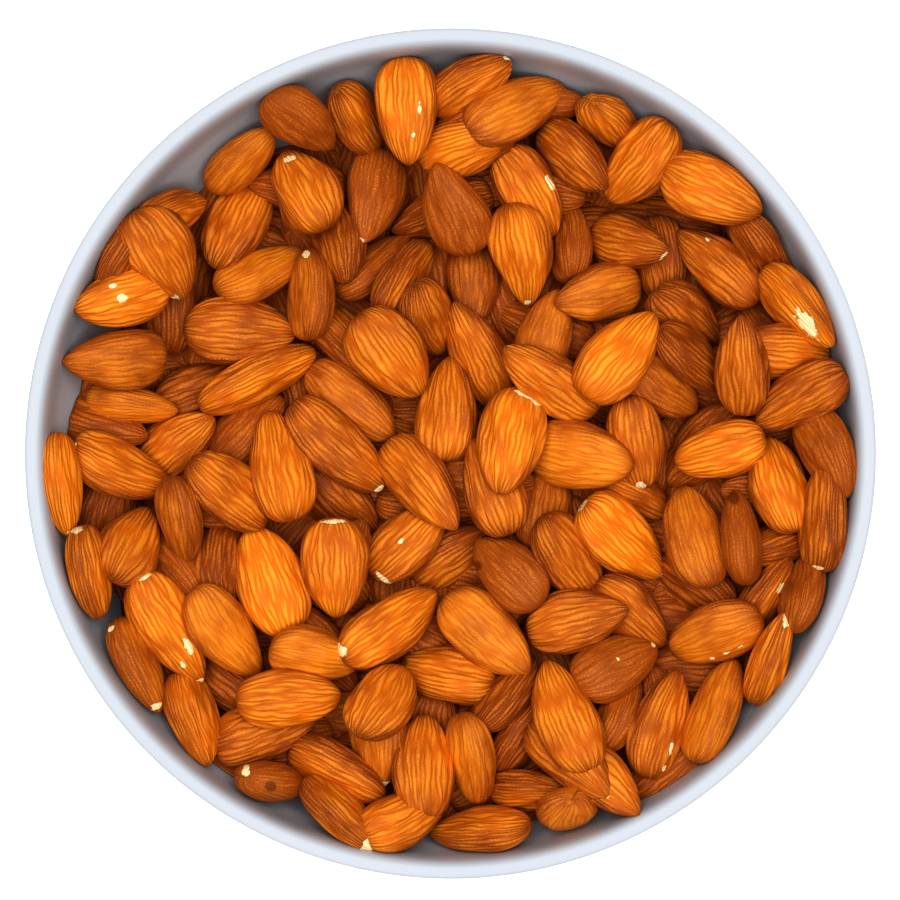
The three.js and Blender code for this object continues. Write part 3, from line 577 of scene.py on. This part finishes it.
def almondSkinMaterial(name):
    material, tree = newMaterial(name)
    own = addNode(tree, "ShaderNodeAttribute", output="Vector", attribute_name="ownPlace")
    along = addNode(tree, "ShaderNodeAttribute", output="Vector", attribute_name="ridgePlace")
    # the skin's tone attribute holds random tone and painted shade: darker edges and ends, the deep almonds and the
    # lower, partly covered ones
    tone, cream, dark, ridged = (addNode(tree, "ShaderNodeAttribute", output="Fac", attribute_name=key)
                                 for key in ("tone", "cream", "dark", "ridged"))
    here = addNode(tree, "ShaderNodeTexCoord", output="Object")

    # the ridges are long cells that sway, fork and run into each other
    swayPlace = addNode(tree, "ShaderNodeVectorMath", {0: own, 1: (1 / 5, 1 / 3, 1 / 3)}, operation="MULTIPLY")
    sway = addNode(tree, "ShaderNodeTexNoise", {"Vector": swayPlace, "Scale": 1.0, "Detail": 1.0}, output="Color")
    swayed = addNode(tree, "ShaderNodeVectorMath", {0: sway, 1: (0, almondSkin["ridgeSway"], 0), 2: along},
                     operation="MULTIPLY_ADD")
    cells = {}
    for size in ("ridge", "fine"):
        shares = (1 / almondSkin[size + "Length"], 1 / almondSkin[size + "Spacing"], 0)
        place = addNode(tree, "ShaderNodeVectorMath", {0: swayed, 1: shares}, operation="MULTIPLY")
        edge = addNode(tree, "ShaderNodeTexVoronoi", {"Vector": place, "Scale": 1.0, "Randomness": 0.85},
                       output="Distance", voronoi_dimensions="2D", feature="DISTANCE_TO_EDGE")
        cells[size] = addNode(tree, "ShaderNodeMapRange", {"Value": edge, "From Min": -0.06, "From Max": 0.42}, interpolation_type="SMOOTHSTEP")
    grainPlace = {"Vector": here, "Scale": 1 / (almondSkin["grain"] * mm), "Detail": 2.0}
    grain = addNode(tree, "ShaderNodeTexNoise", grainPlace, output="Fac")
    blotch = addNode(tree, "ShaderNodeTexNoise", {"Vector": own, "Scale": 1 / almondSkin["blotch"], "Detail": 3.0},
                     output="Fac")

    # colour: painted shade, dark and deep in the grooves; in patches browner or brighter; dust and a painted highlight
    # on the crests
    uneven = addNode(tree, "ShaderNodeMapRange", {"Value": blotch, "From Min": 0.3, "From Max": 0.7, "To Min": -0.2,
                                                  "To Max": 0.2})
    bright = addNode(tree, "ShaderNodeMath", {0: tone, 1: uneven}, operation="ADD")
    bright = addNode(tree, "ShaderNodeMapRange", {"Value": bright, "From Min": 0.0, "From Max": 0.9})
    # the browner colours serve brown skin and painted shade alike
    crest = addNode(tree, "ShaderNodeMix", {0: bright, 6: linearColour(almondSkin["brownAndShadedCrest"]),
                                            7: linearColour(almondSkin["crest"])}, output=2, data_type="RGBA")
    groove = addNode(tree, "ShaderNodeMix", {0: bright, 6: linearColour(almondSkin["brownAndShadedGroove"]),
                                             7: linearColour(almondSkin["groove"])}, output=2, data_type="RGBA")
    # painted shade: the grooves, and more faintly the fine lines, take the darker groove colour, as they look in shade
    paintedGrooveShade = addNode(tree, "ShaderNodeMapRange", {"Value": cells["ridge"], "To Min": 1.0, "To Max": 0.0})
    depth = addNode(tree, "ShaderNodeMapRange", {"Value": ridged, "To Min": 0.25, "To Max": 0.95})
    paintedGrooveShade = addNode(tree, "ShaderNodeMath", {0: paintedGrooveShade, 1: depth}, operation="MULTIPLY")
    fineness = addNode(tree, "ShaderNodeMapRange", {"Value": cells["fine"], "To Min": 0.3, "To Max": 0.0})
    paintedGrooveShade = addNode(tree, "ShaderNodeMath", {0: paintedGrooveShade, 1: fineness}, operation="ADD", use_clamp=True)
    colour = addNode(tree, "ShaderNodeMix", {0: paintedGrooveShade, 6: crest, 7: groove}, output=2, data_type="RGBA")
    # dust and painted highlight: the grain pales the crests
    crestDustAndHighlight = addNode(tree, "ShaderNodeMapRange", {"Value": grain, "From Min": 0.5, "From Max": 0.8, "To Max": 0.5})
    crestDustAndHighlight = addNode(tree, "ShaderNodeMath", {0: crestDustAndHighlight, 1: cells["ridge"]}, operation="MULTIPLY")
    colour = addNode(tree, "ShaderNodeMix", {0: crestDustAndHighlight, 6: colour, 7: linearColour(almondSkin["dust"])}, output=2,
                     data_type="RGBA")

    # chips down to the kernel, with torn edges, and dark scars
    torn = addNode(tree, "ShaderNodeTexNoise", {"Vector": here, "Scale": 1 / (almondSkin["ragged"] * mm),
                                                "Detail": 3.0}, output="Fac")
    torn = addNode(tree, "ShaderNodeMapRange", {"Value": torn, "From Min": 0.3, "From Max": 0.7, "To Min": -0.2,
                                                "To Max": 0.2})
    torn = addNode(tree, "ShaderNodeMath", {0: cream, 1: torn}, operation="ADD")
    torn = addNode(tree, "ShaderNodeMapRange", {"Value": torn, "From Min": 0.5, "From Max": 0.6})
    near = addNode(tree, "ShaderNodeMapRange", {"Value": cream, "From Min": 0.05, "From Max": 0.2})
    bare = addNode(tree, "ShaderNodeMath", {0: torn, 1: near}, operation="MULTIPLY")
    colour = addNode(tree, "ShaderNodeMix", {0: bare, 6: colour, 7: linearColour(almondSkin["kernel"])}, output=2,
                     data_type="RGBA")
    spot = addNode(tree, "ShaderNodeMath", {0: grain, 1: 0.4, 2: dark}, operation="MULTIPLY_ADD")
    spot = addNode(tree, "ShaderNodeMapRange", {"Value": spot, "From Min": 0.65, "From Max": 0.9, "To Max": 0.6})
    colour = addNode(tree, "ShaderNodeMix", {0: spot, 6: colour, 7: linearColour(almondSkin["scar"])}, output=2,
                     data_type="RGBA")

    # relief, in mm: ridges, the fine lines between them, grain, and the step down at a chip
    ridgeDepth = addNode(tree, "ShaderNodeMath", {0: ridged, 1: almondSkin["ridgeHeight"]}, operation="MULTIPLY")
    height = addNode(tree, "ShaderNodeMath", {0: cells["ridge"], 1: ridgeDepth}, operation="MULTIPLY")
    height = addNode(tree, "ShaderNodeMath", {0: cells["fine"], 1: almondSkin["fineHeight"], 2: height},
                     operation="MULTIPLY_ADD")
    height = addNode(tree, "ShaderNodeMath", {0: grain, 1: almondSkin["grainHeight"], 2: height},
                     operation="MULTIPLY_ADD")
    height = addNode(tree, "ShaderNodeMath", {0: bare, 1: -almondSkin["chipDepth"], 2: height},
                     operation="MULTIPLY_ADD")
    bump = addNode(tree, "ShaderNodeBump", {"Height": height, "Distance": mm, "Strength": 1.0})
    skin = addNode(tree, "ShaderNodeBsdfPrincipled", {
        "Base Color": colour, "Roughness": almondSkin["roughness"], "Normal": bump,
        "IOR": almondSkin["ior"], "Specular IOR Level": almondSkin["specular"],
        "Sheen Weight": almondSkin["sheen"], "Sheen Roughness": almondSkin["sheenRoughness"],
        "Sheen Tint": linearColour(almondSkin["sheenTint"])})
    addNode(tree, "ShaderNodeOutputMaterial", {"Surface": skin})
    return material


for number, almond in enumerate(almonds):
    almond["number"] = number
    if "shown" in almond:
        row = shown[almond["shown"]]
        almond["key"] = (row[0], row[1])
        almond["seenHeading"], almond["seenLength"], almond["seenWidth"] = row[2:5]

kinds = {"ridgedAlmonds": [], "brightAlmonds": [], "fineGrainedAlmonds": [], "brownAlmonds": [], "lowerAlmonds": [],
         "deepAlmonds": [], "buriedAlmonds": []}
for almond in almonds:
    look = almond["look"]
    if not look:
        kind = "deepAlmonds" if "deep" in almond else "buriedAlmonds"
    elif almond["shown"] < heap["partlyCovered"]:
        kind = "lowerAlmonds"
    else:
        kind = {"f": "fineGrainedAlmonds", "m": "brownAlmonds"}.get(look[0], "brightAlmonds" if look[1] == "b" else "ridgedAlmonds")
    kinds[kind].append(almond)
skinMaterial = almondSkinMaterial("rawAlmondSkinDriedAndBrushed")
pieces = []
for name, group in kinds.items():
    rings, around = almondShape["meshes"].get(name.replace("Almonds", ""), almondShape["meshes"]["shown"])
    piece = addAlmonds(name, group, rings, around, skinMaterial)
    pieces.append(piece)


# the core under the almonds, which fills the bowl below what shows

core = {"belowHeap": 15, "lump": 1.6, "lumpSize": 9, "rings": 40, "sides": 120, "clearance": 0.4}


def addCore():
    angles = fullTurn * np.arange(core["sides"]) / core["sides"]
    radii = (mouthRadius - 4) * (np.arange(1, core["rings"] + 1) / core["rings"])
    x, y = radii[:, None] * np.cos(angles), radii[:, None] * np.sin(angles)
    wave = fullTurn / core["lumpSize"]
    lumps = np.sin(wave * x + 2 * np.sin(0.13 * y)) * np.sin(wave * y + 2 * np.sin(0.11 * x))
    top = heapLevel(x, y) - core["belowHeap"] + core["lump"] * (lumps - 1)
    low = innerHeight(np.minimum(radii + core["clearance"], mouthRadius - 0.01)) + core["clearance"]
    low = np.where(radii + core["clearance"] < bowl["floorRadius"], floorLevel + core["clearance"], low)
    bottom = np.repeat(low[:, None], core["sides"], 1)
    kept = int((bottom[:, 0] < top.min(1) - 0.5).sum())  # the last ring that still has room under the top
    x, y, top, bottom = x[:kept], y[:kept], top[:kept], bottom[:kept]
    points = [(0, 0, heapLevel(0, 0) - core["belowHeap"] - core["lump"]), (0, 0, floorLevel + core["clearance"])]
    points += [tuple(p) for p in np.stack([x, y, top], -1).reshape(-1, 3)]
    points += [tuple(p) for p in np.stack([x, y, bottom], -1).reshape(-1, 3)]
    sides, faces = core["sides"], []
    upper, lower = 2, 2 + kept * sides
    for k in range(sides):
        m = (k + 1) % sides
        faces += [(0, upper + k, upper + m), (1, lower + m, lower + k)]
        for r in range(kept - 1):
            a, b = r * sides, (r + 1) * sides
            faces += [(upper + a + k, upper + b + k, upper + b + m, upper + a + m),
                      (lower + a + k, lower + a + m, lower + b + m, lower + b + k)]
        edge = (kept - 1) * sides
        faces += [(upper + edge + k, lower + edge + k, lower + edge + m, upper + edge + m)]
    # painted shade: the core is coloured near black-brown, dull and mottled, as the gaps between the whole almonds look
    # in shade
    material, tree = newMaterial("paintedShadeHeapCore")
    place = addNode(tree, "ShaderNodeTexCoord", output="Object")
    coreMottle = addNode(tree, "ShaderNodeTexNoise", {"Vector": place, "Scale": 450.0, "Detail": 3.0}, output="Fac")
    colour = addNode(tree, "ShaderNodeMix", {0: coreMottle, 6: linearColour("#2E1206"), 7: linearColour("#6E3710")},
                     output=2, data_type="RGBA")
    bump = addNode(tree, "ShaderNodeBump", {"Height": coreMottle, "Distance": 0.6 * mm})
    skin = addNode(tree, "ShaderNodeBsdfPrincipled", {"Base Color": colour, "Roughness": 0.8, "Normal": bump})
    addNode(tree, "ShaderNodeOutputMaterial", {"Surface": skin})
    return addPiece("heapCore", [tuple(c * mm for c in p) for p in points], faces, material)


corePiece = addCore()
for piece in pieces + [corePiece]:
    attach(piece, "root")
    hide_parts("almonds")
print("almonds dressed")


# glazed porcelain: hard white body with a clear gloss glaze, slightly cool, wavy where it ran before it set

glaze = {
    "body": "#B7BBC1", "pooled": "#B1B6BD", "roughness": 0.34, "ior": 1.5, "specular": 0.22,
    "orangePeel": 5, "wave": 38, "relief": 0.03,  # mm
    "biscuit": "#D9D3C8", "biscuitGrain": 0.4,  # mm
}


def glazeMaterial():
    material, tree = newMaterial("glazedPorcelainFired")
    place = addNode(tree, "ShaderNodeTexCoord", output="Object")
    wave = addNode(tree, "ShaderNodeTexNoise", {"Vector": place, "Scale": 1000.0 / glaze["wave"], "Detail": 1.0},
                   output="Fac")
    peel = addNode(tree, "ShaderNodeTexNoise", {"Vector": place, "Scale": 1000.0 / glaze["orangePeel"], "Detail": 1.0},
                   output="Fac")
    height = addNode(tree, "ShaderNodeMath", {0: wave, 1: 4.0, 2: peel}, operation="MULTIPLY_ADD")
    bump = addNode(tree, "ShaderNodeBump", {"Height": height, "Distance": glaze["relief"] * mm})
    colour = addNode(tree, "ShaderNodeMix", {0: wave, 6: linearColour(glaze["body"]), 7: linearColour(glaze["pooled"])},
                     output=2, data_type="RGBA")
    skin = addNode(tree, "ShaderNodeBsdfPrincipled", {
        "Base Color": colour, "Roughness": glaze["roughness"], "IOR": glaze["ior"],
        "Specular IOR Level": glaze["specular"], "Normal": bump})
    addNode(tree, "ShaderNodeOutputMaterial", {"Surface": skin})
    return material


def biscuitMaterial():
    # the foot ring is wiped bare of glaze before firing, so it is matt and faintly gritty
    material, tree = newMaterial("unglazedPorcelainFoot")
    place = addNode(tree, "ShaderNodeTexCoord", output="Object")
    grit = addNode(tree, "ShaderNodeTexNoise", {"Vector": place, "Scale": 1000.0 / glaze["biscuitGrain"],
                                                "Detail": 2.0}, output="Fac")
    bump = addNode(tree, "ShaderNodeBump", {"Height": grit, "Distance": 0.05 * mm})
    colour = addNode(tree, "ShaderNodeMix", {0: grit, 6: linearColour(glaze["biscuit"]), 7: linearColour("#C9C2B5")},
                     output=2, data_type="RGBA")
    skin = addNode(tree, "ShaderNodeBsdfPrincipled", {"Base Color": colour, "Roughness": 0.75, "Normal": bump})
    addNode(tree, "ShaderNodeOutputMaterial", {"Surface": skin})
    return material


def roundedCorner(corner, before, after, radius, steps=5):
    # the corner of a profile, replaced by a few points on a quadratic curve
    a, b, c = (np.array(p, float) for p in (before, corner, after))
    start, end = b + radius * (a - b) / np.linalg.norm(a - b), b + radius * (c - b) / np.linalg.norm(c - b)
    return [tuple((1 - t)**2 * start + 2 * t * (1 - t) * b + t * t * end) for t in np.linspace(0, 1, steps)]


def addBowl():
    # the lip: a squarish outer corner, a flat top, and a soft shoulder that runs into the wall
    turns = math.pi / 2 * np.arange(1, bowl["lipSteps"] + 1) / bowl["lipSteps"]
    lip = [(bowl["rimRadius"] - lipRadius + lipRadius * math.cos(t)**bowl["lipSquareness"],
            lipLevel + lipRadius * math.sin(t)**bowl["lipSquareness"]) for t in turns]
    inside = [p for p in innerWall[::-1] if p[1] < bowl["height"] - bowl["shoulderDrop"]]
    start, end = np.array([bowl["rimRadius"] - bowl["shoulderTop"], bowl["height"]]), np.array(inside[0])
    upWall = (end - inside[1]) / math.dist(end, inside[1])
    level, steep = start - [bowl["shoulderReach"], 0], end + upWall * bowl["shoulderDrop"] / 2
    lip += [tuple((1 - t)**3 * start + 3 * t * (1 - t)**2 * level + 3 * t * t * (1 - t) * steep + t**3 * end)
            for t in np.arange(1, bowl["lipSteps"]) / bowl["lipSteps"]]
    footInside = bowl["footRadius"] - bowl["footWidth"]
    r = bowl["footRound"]
    top, inner, outer = (footInside - bowl["footBevel"], bowl["footHeight"]), (footInside, 0), (bowl["footRadius"], 0)
    up = outerWall[0]
    under = [(radius, bowl["footHeight"]) for radius in np.linspace(4, top[0] - 2, 10)]
    profile = under + roundedCorner(top, under[-1], inner, r)
    footStart = len(profile)
    profile += roundedCorner(inner, top, outer, r) + roundedCorner(outer, inner, up, r)
    footEnd = len(profile)
    profile += roundedCorner(up, outer, outerWall[1], r) + outerWall[1:] + lip + inside
    profile += [(radius, floorLevel) for radius in np.linspace(bowl["floorRadius"] - 2, 4, 10)]
    sides = bowl["sides"]
    angles = fullTurn * np.arange(sides) / sides
    rings = np.array(profile)
    points = [(0, 0, bowl["footHeight"]), (0, 0, floorLevel)]
    for radius, level in rings:
        away = min(level / bowl["height"], 1)
        swell = bowl["waver"] * away * (np.sin(2 * angles + 0.7) + 0.5 * np.sin(5 * angles + 2))
        points += list(zip((radius + swell - bowl["waver"] * away) * np.cos(angles),
                           (radius + swell - bowl["waver"] * away) * np.sin(angles), np.full(sides, level)))
    faces, slots = [], []
    last = 2 + (len(rings) - 1) * sides
    for k in range(sides):
        m = (k + 1) % sides
        faces += [(0, 2 + m, 2 + k), (1, last + k, last + m)]
        slots += [0, 0]
    for r in range(len(rings) - 1):
        for k in range(sides):
            m = (k + 1) % sides
            a, b = 2 + r * sides, 2 + (r + 1) * sides
            faces.append((a + k, a + m, b + m, b + k))
            slots.append(1 if footStart <= r + 1 < footEnd + 1 else 0)
    piece = addPiece("porcelainBowl", [tuple(c * mm for c in p) for p in points], faces, glazeMaterial())
    piece.data.materials.append(biscuitMaterial())
    piece.data.polygons.foreach_set("material_index", slots)
    return piece


bowlPiece = addBowl()
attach(bowlPiece, "root")
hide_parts("bowl")
print("bowl turned:", len(bowlPiece.data.polygons), "faces")


# the floor, the light and the camera

studio = {
    "floorSize": 4, "floorColour": "#FFFFFF", "floorGlow": 0.3,
    "panelSize": 1.1, "panelHeight": 1.1, "panelPower": 13.0, "domeStrength": 0.26,
    "lens": 135, "sensor": 36, "frameWidth": 190.0,  # mm, on the plane of the rim
    "aimEast": -0.06, "aimNorth": 0.74,  # mm
}

material, tree = newMaterial("paleStudioFloor")
surface = addNode(tree, "ShaderNodeBsdfPrincipled", {
    "Base Color": linearColour(studio["floorColour"]), "Roughness": 0.9, "Specular IOR Level": 0.0,
    "Emission Color": linearColour("#FFFFFF"), "Emission Strength": studio["floorGlow"]})
addNode(tree, "ShaderNodeOutputMaterial", {"Surface": surface})
half = studio["floorSize"] / 2
floor = addPiece("studioFloor", [(-half, -half, 0), (half, -half, 0), (half, half, 0), (-half, half, 0)],
                 [(0, 1, 2, 3)], material, smooth=False)

world = bpy.data.worlds.new("softDome")
bpy.context.scene.world = world
world.use_nodes = True
world.node_tree.nodes["Background"].inputs["Color"].default_value = linearColour("#FFFFFF")
world.node_tree.nodes["Background"].inputs["Strength"].default_value = studio["domeStrength"]

panel = bpy.data.lights.new("overheadPanel", "AREA")
panel.size = studio["panelSize"]
panel.energy = studio["panelPower"]
panelLamp = bpy.data.objects.new("overheadPanel", panel)
panelLamp.location = (0, 0, studio["panelHeight"])
bpy.context.collection.objects.link(panelLamp)

lens = bpy.data.cameras.new("overheadCamera")
lens.lens = studio["lens"]
lens.sensor_width = studio["sensor"]
lens.clip_start = 0.01
camera = bpy.data.objects.new("overheadCamera", lens)
distance = studio["frameWidth"] * studio["lens"] / studio["sensor"]
camera.location = (studio["aimEast"] * mm, studio["aimNorth"] * mm, (bowl["height"] + distance) * mm)
bpy.context.collection.objects.link(camera)
bpy.context.scene.camera = camera
bpy.context.scene.view_settings.view_transform = "Standard"
bpy.context.scene.view_settings.look = "High Contrast"
print("floor, light and camera set")
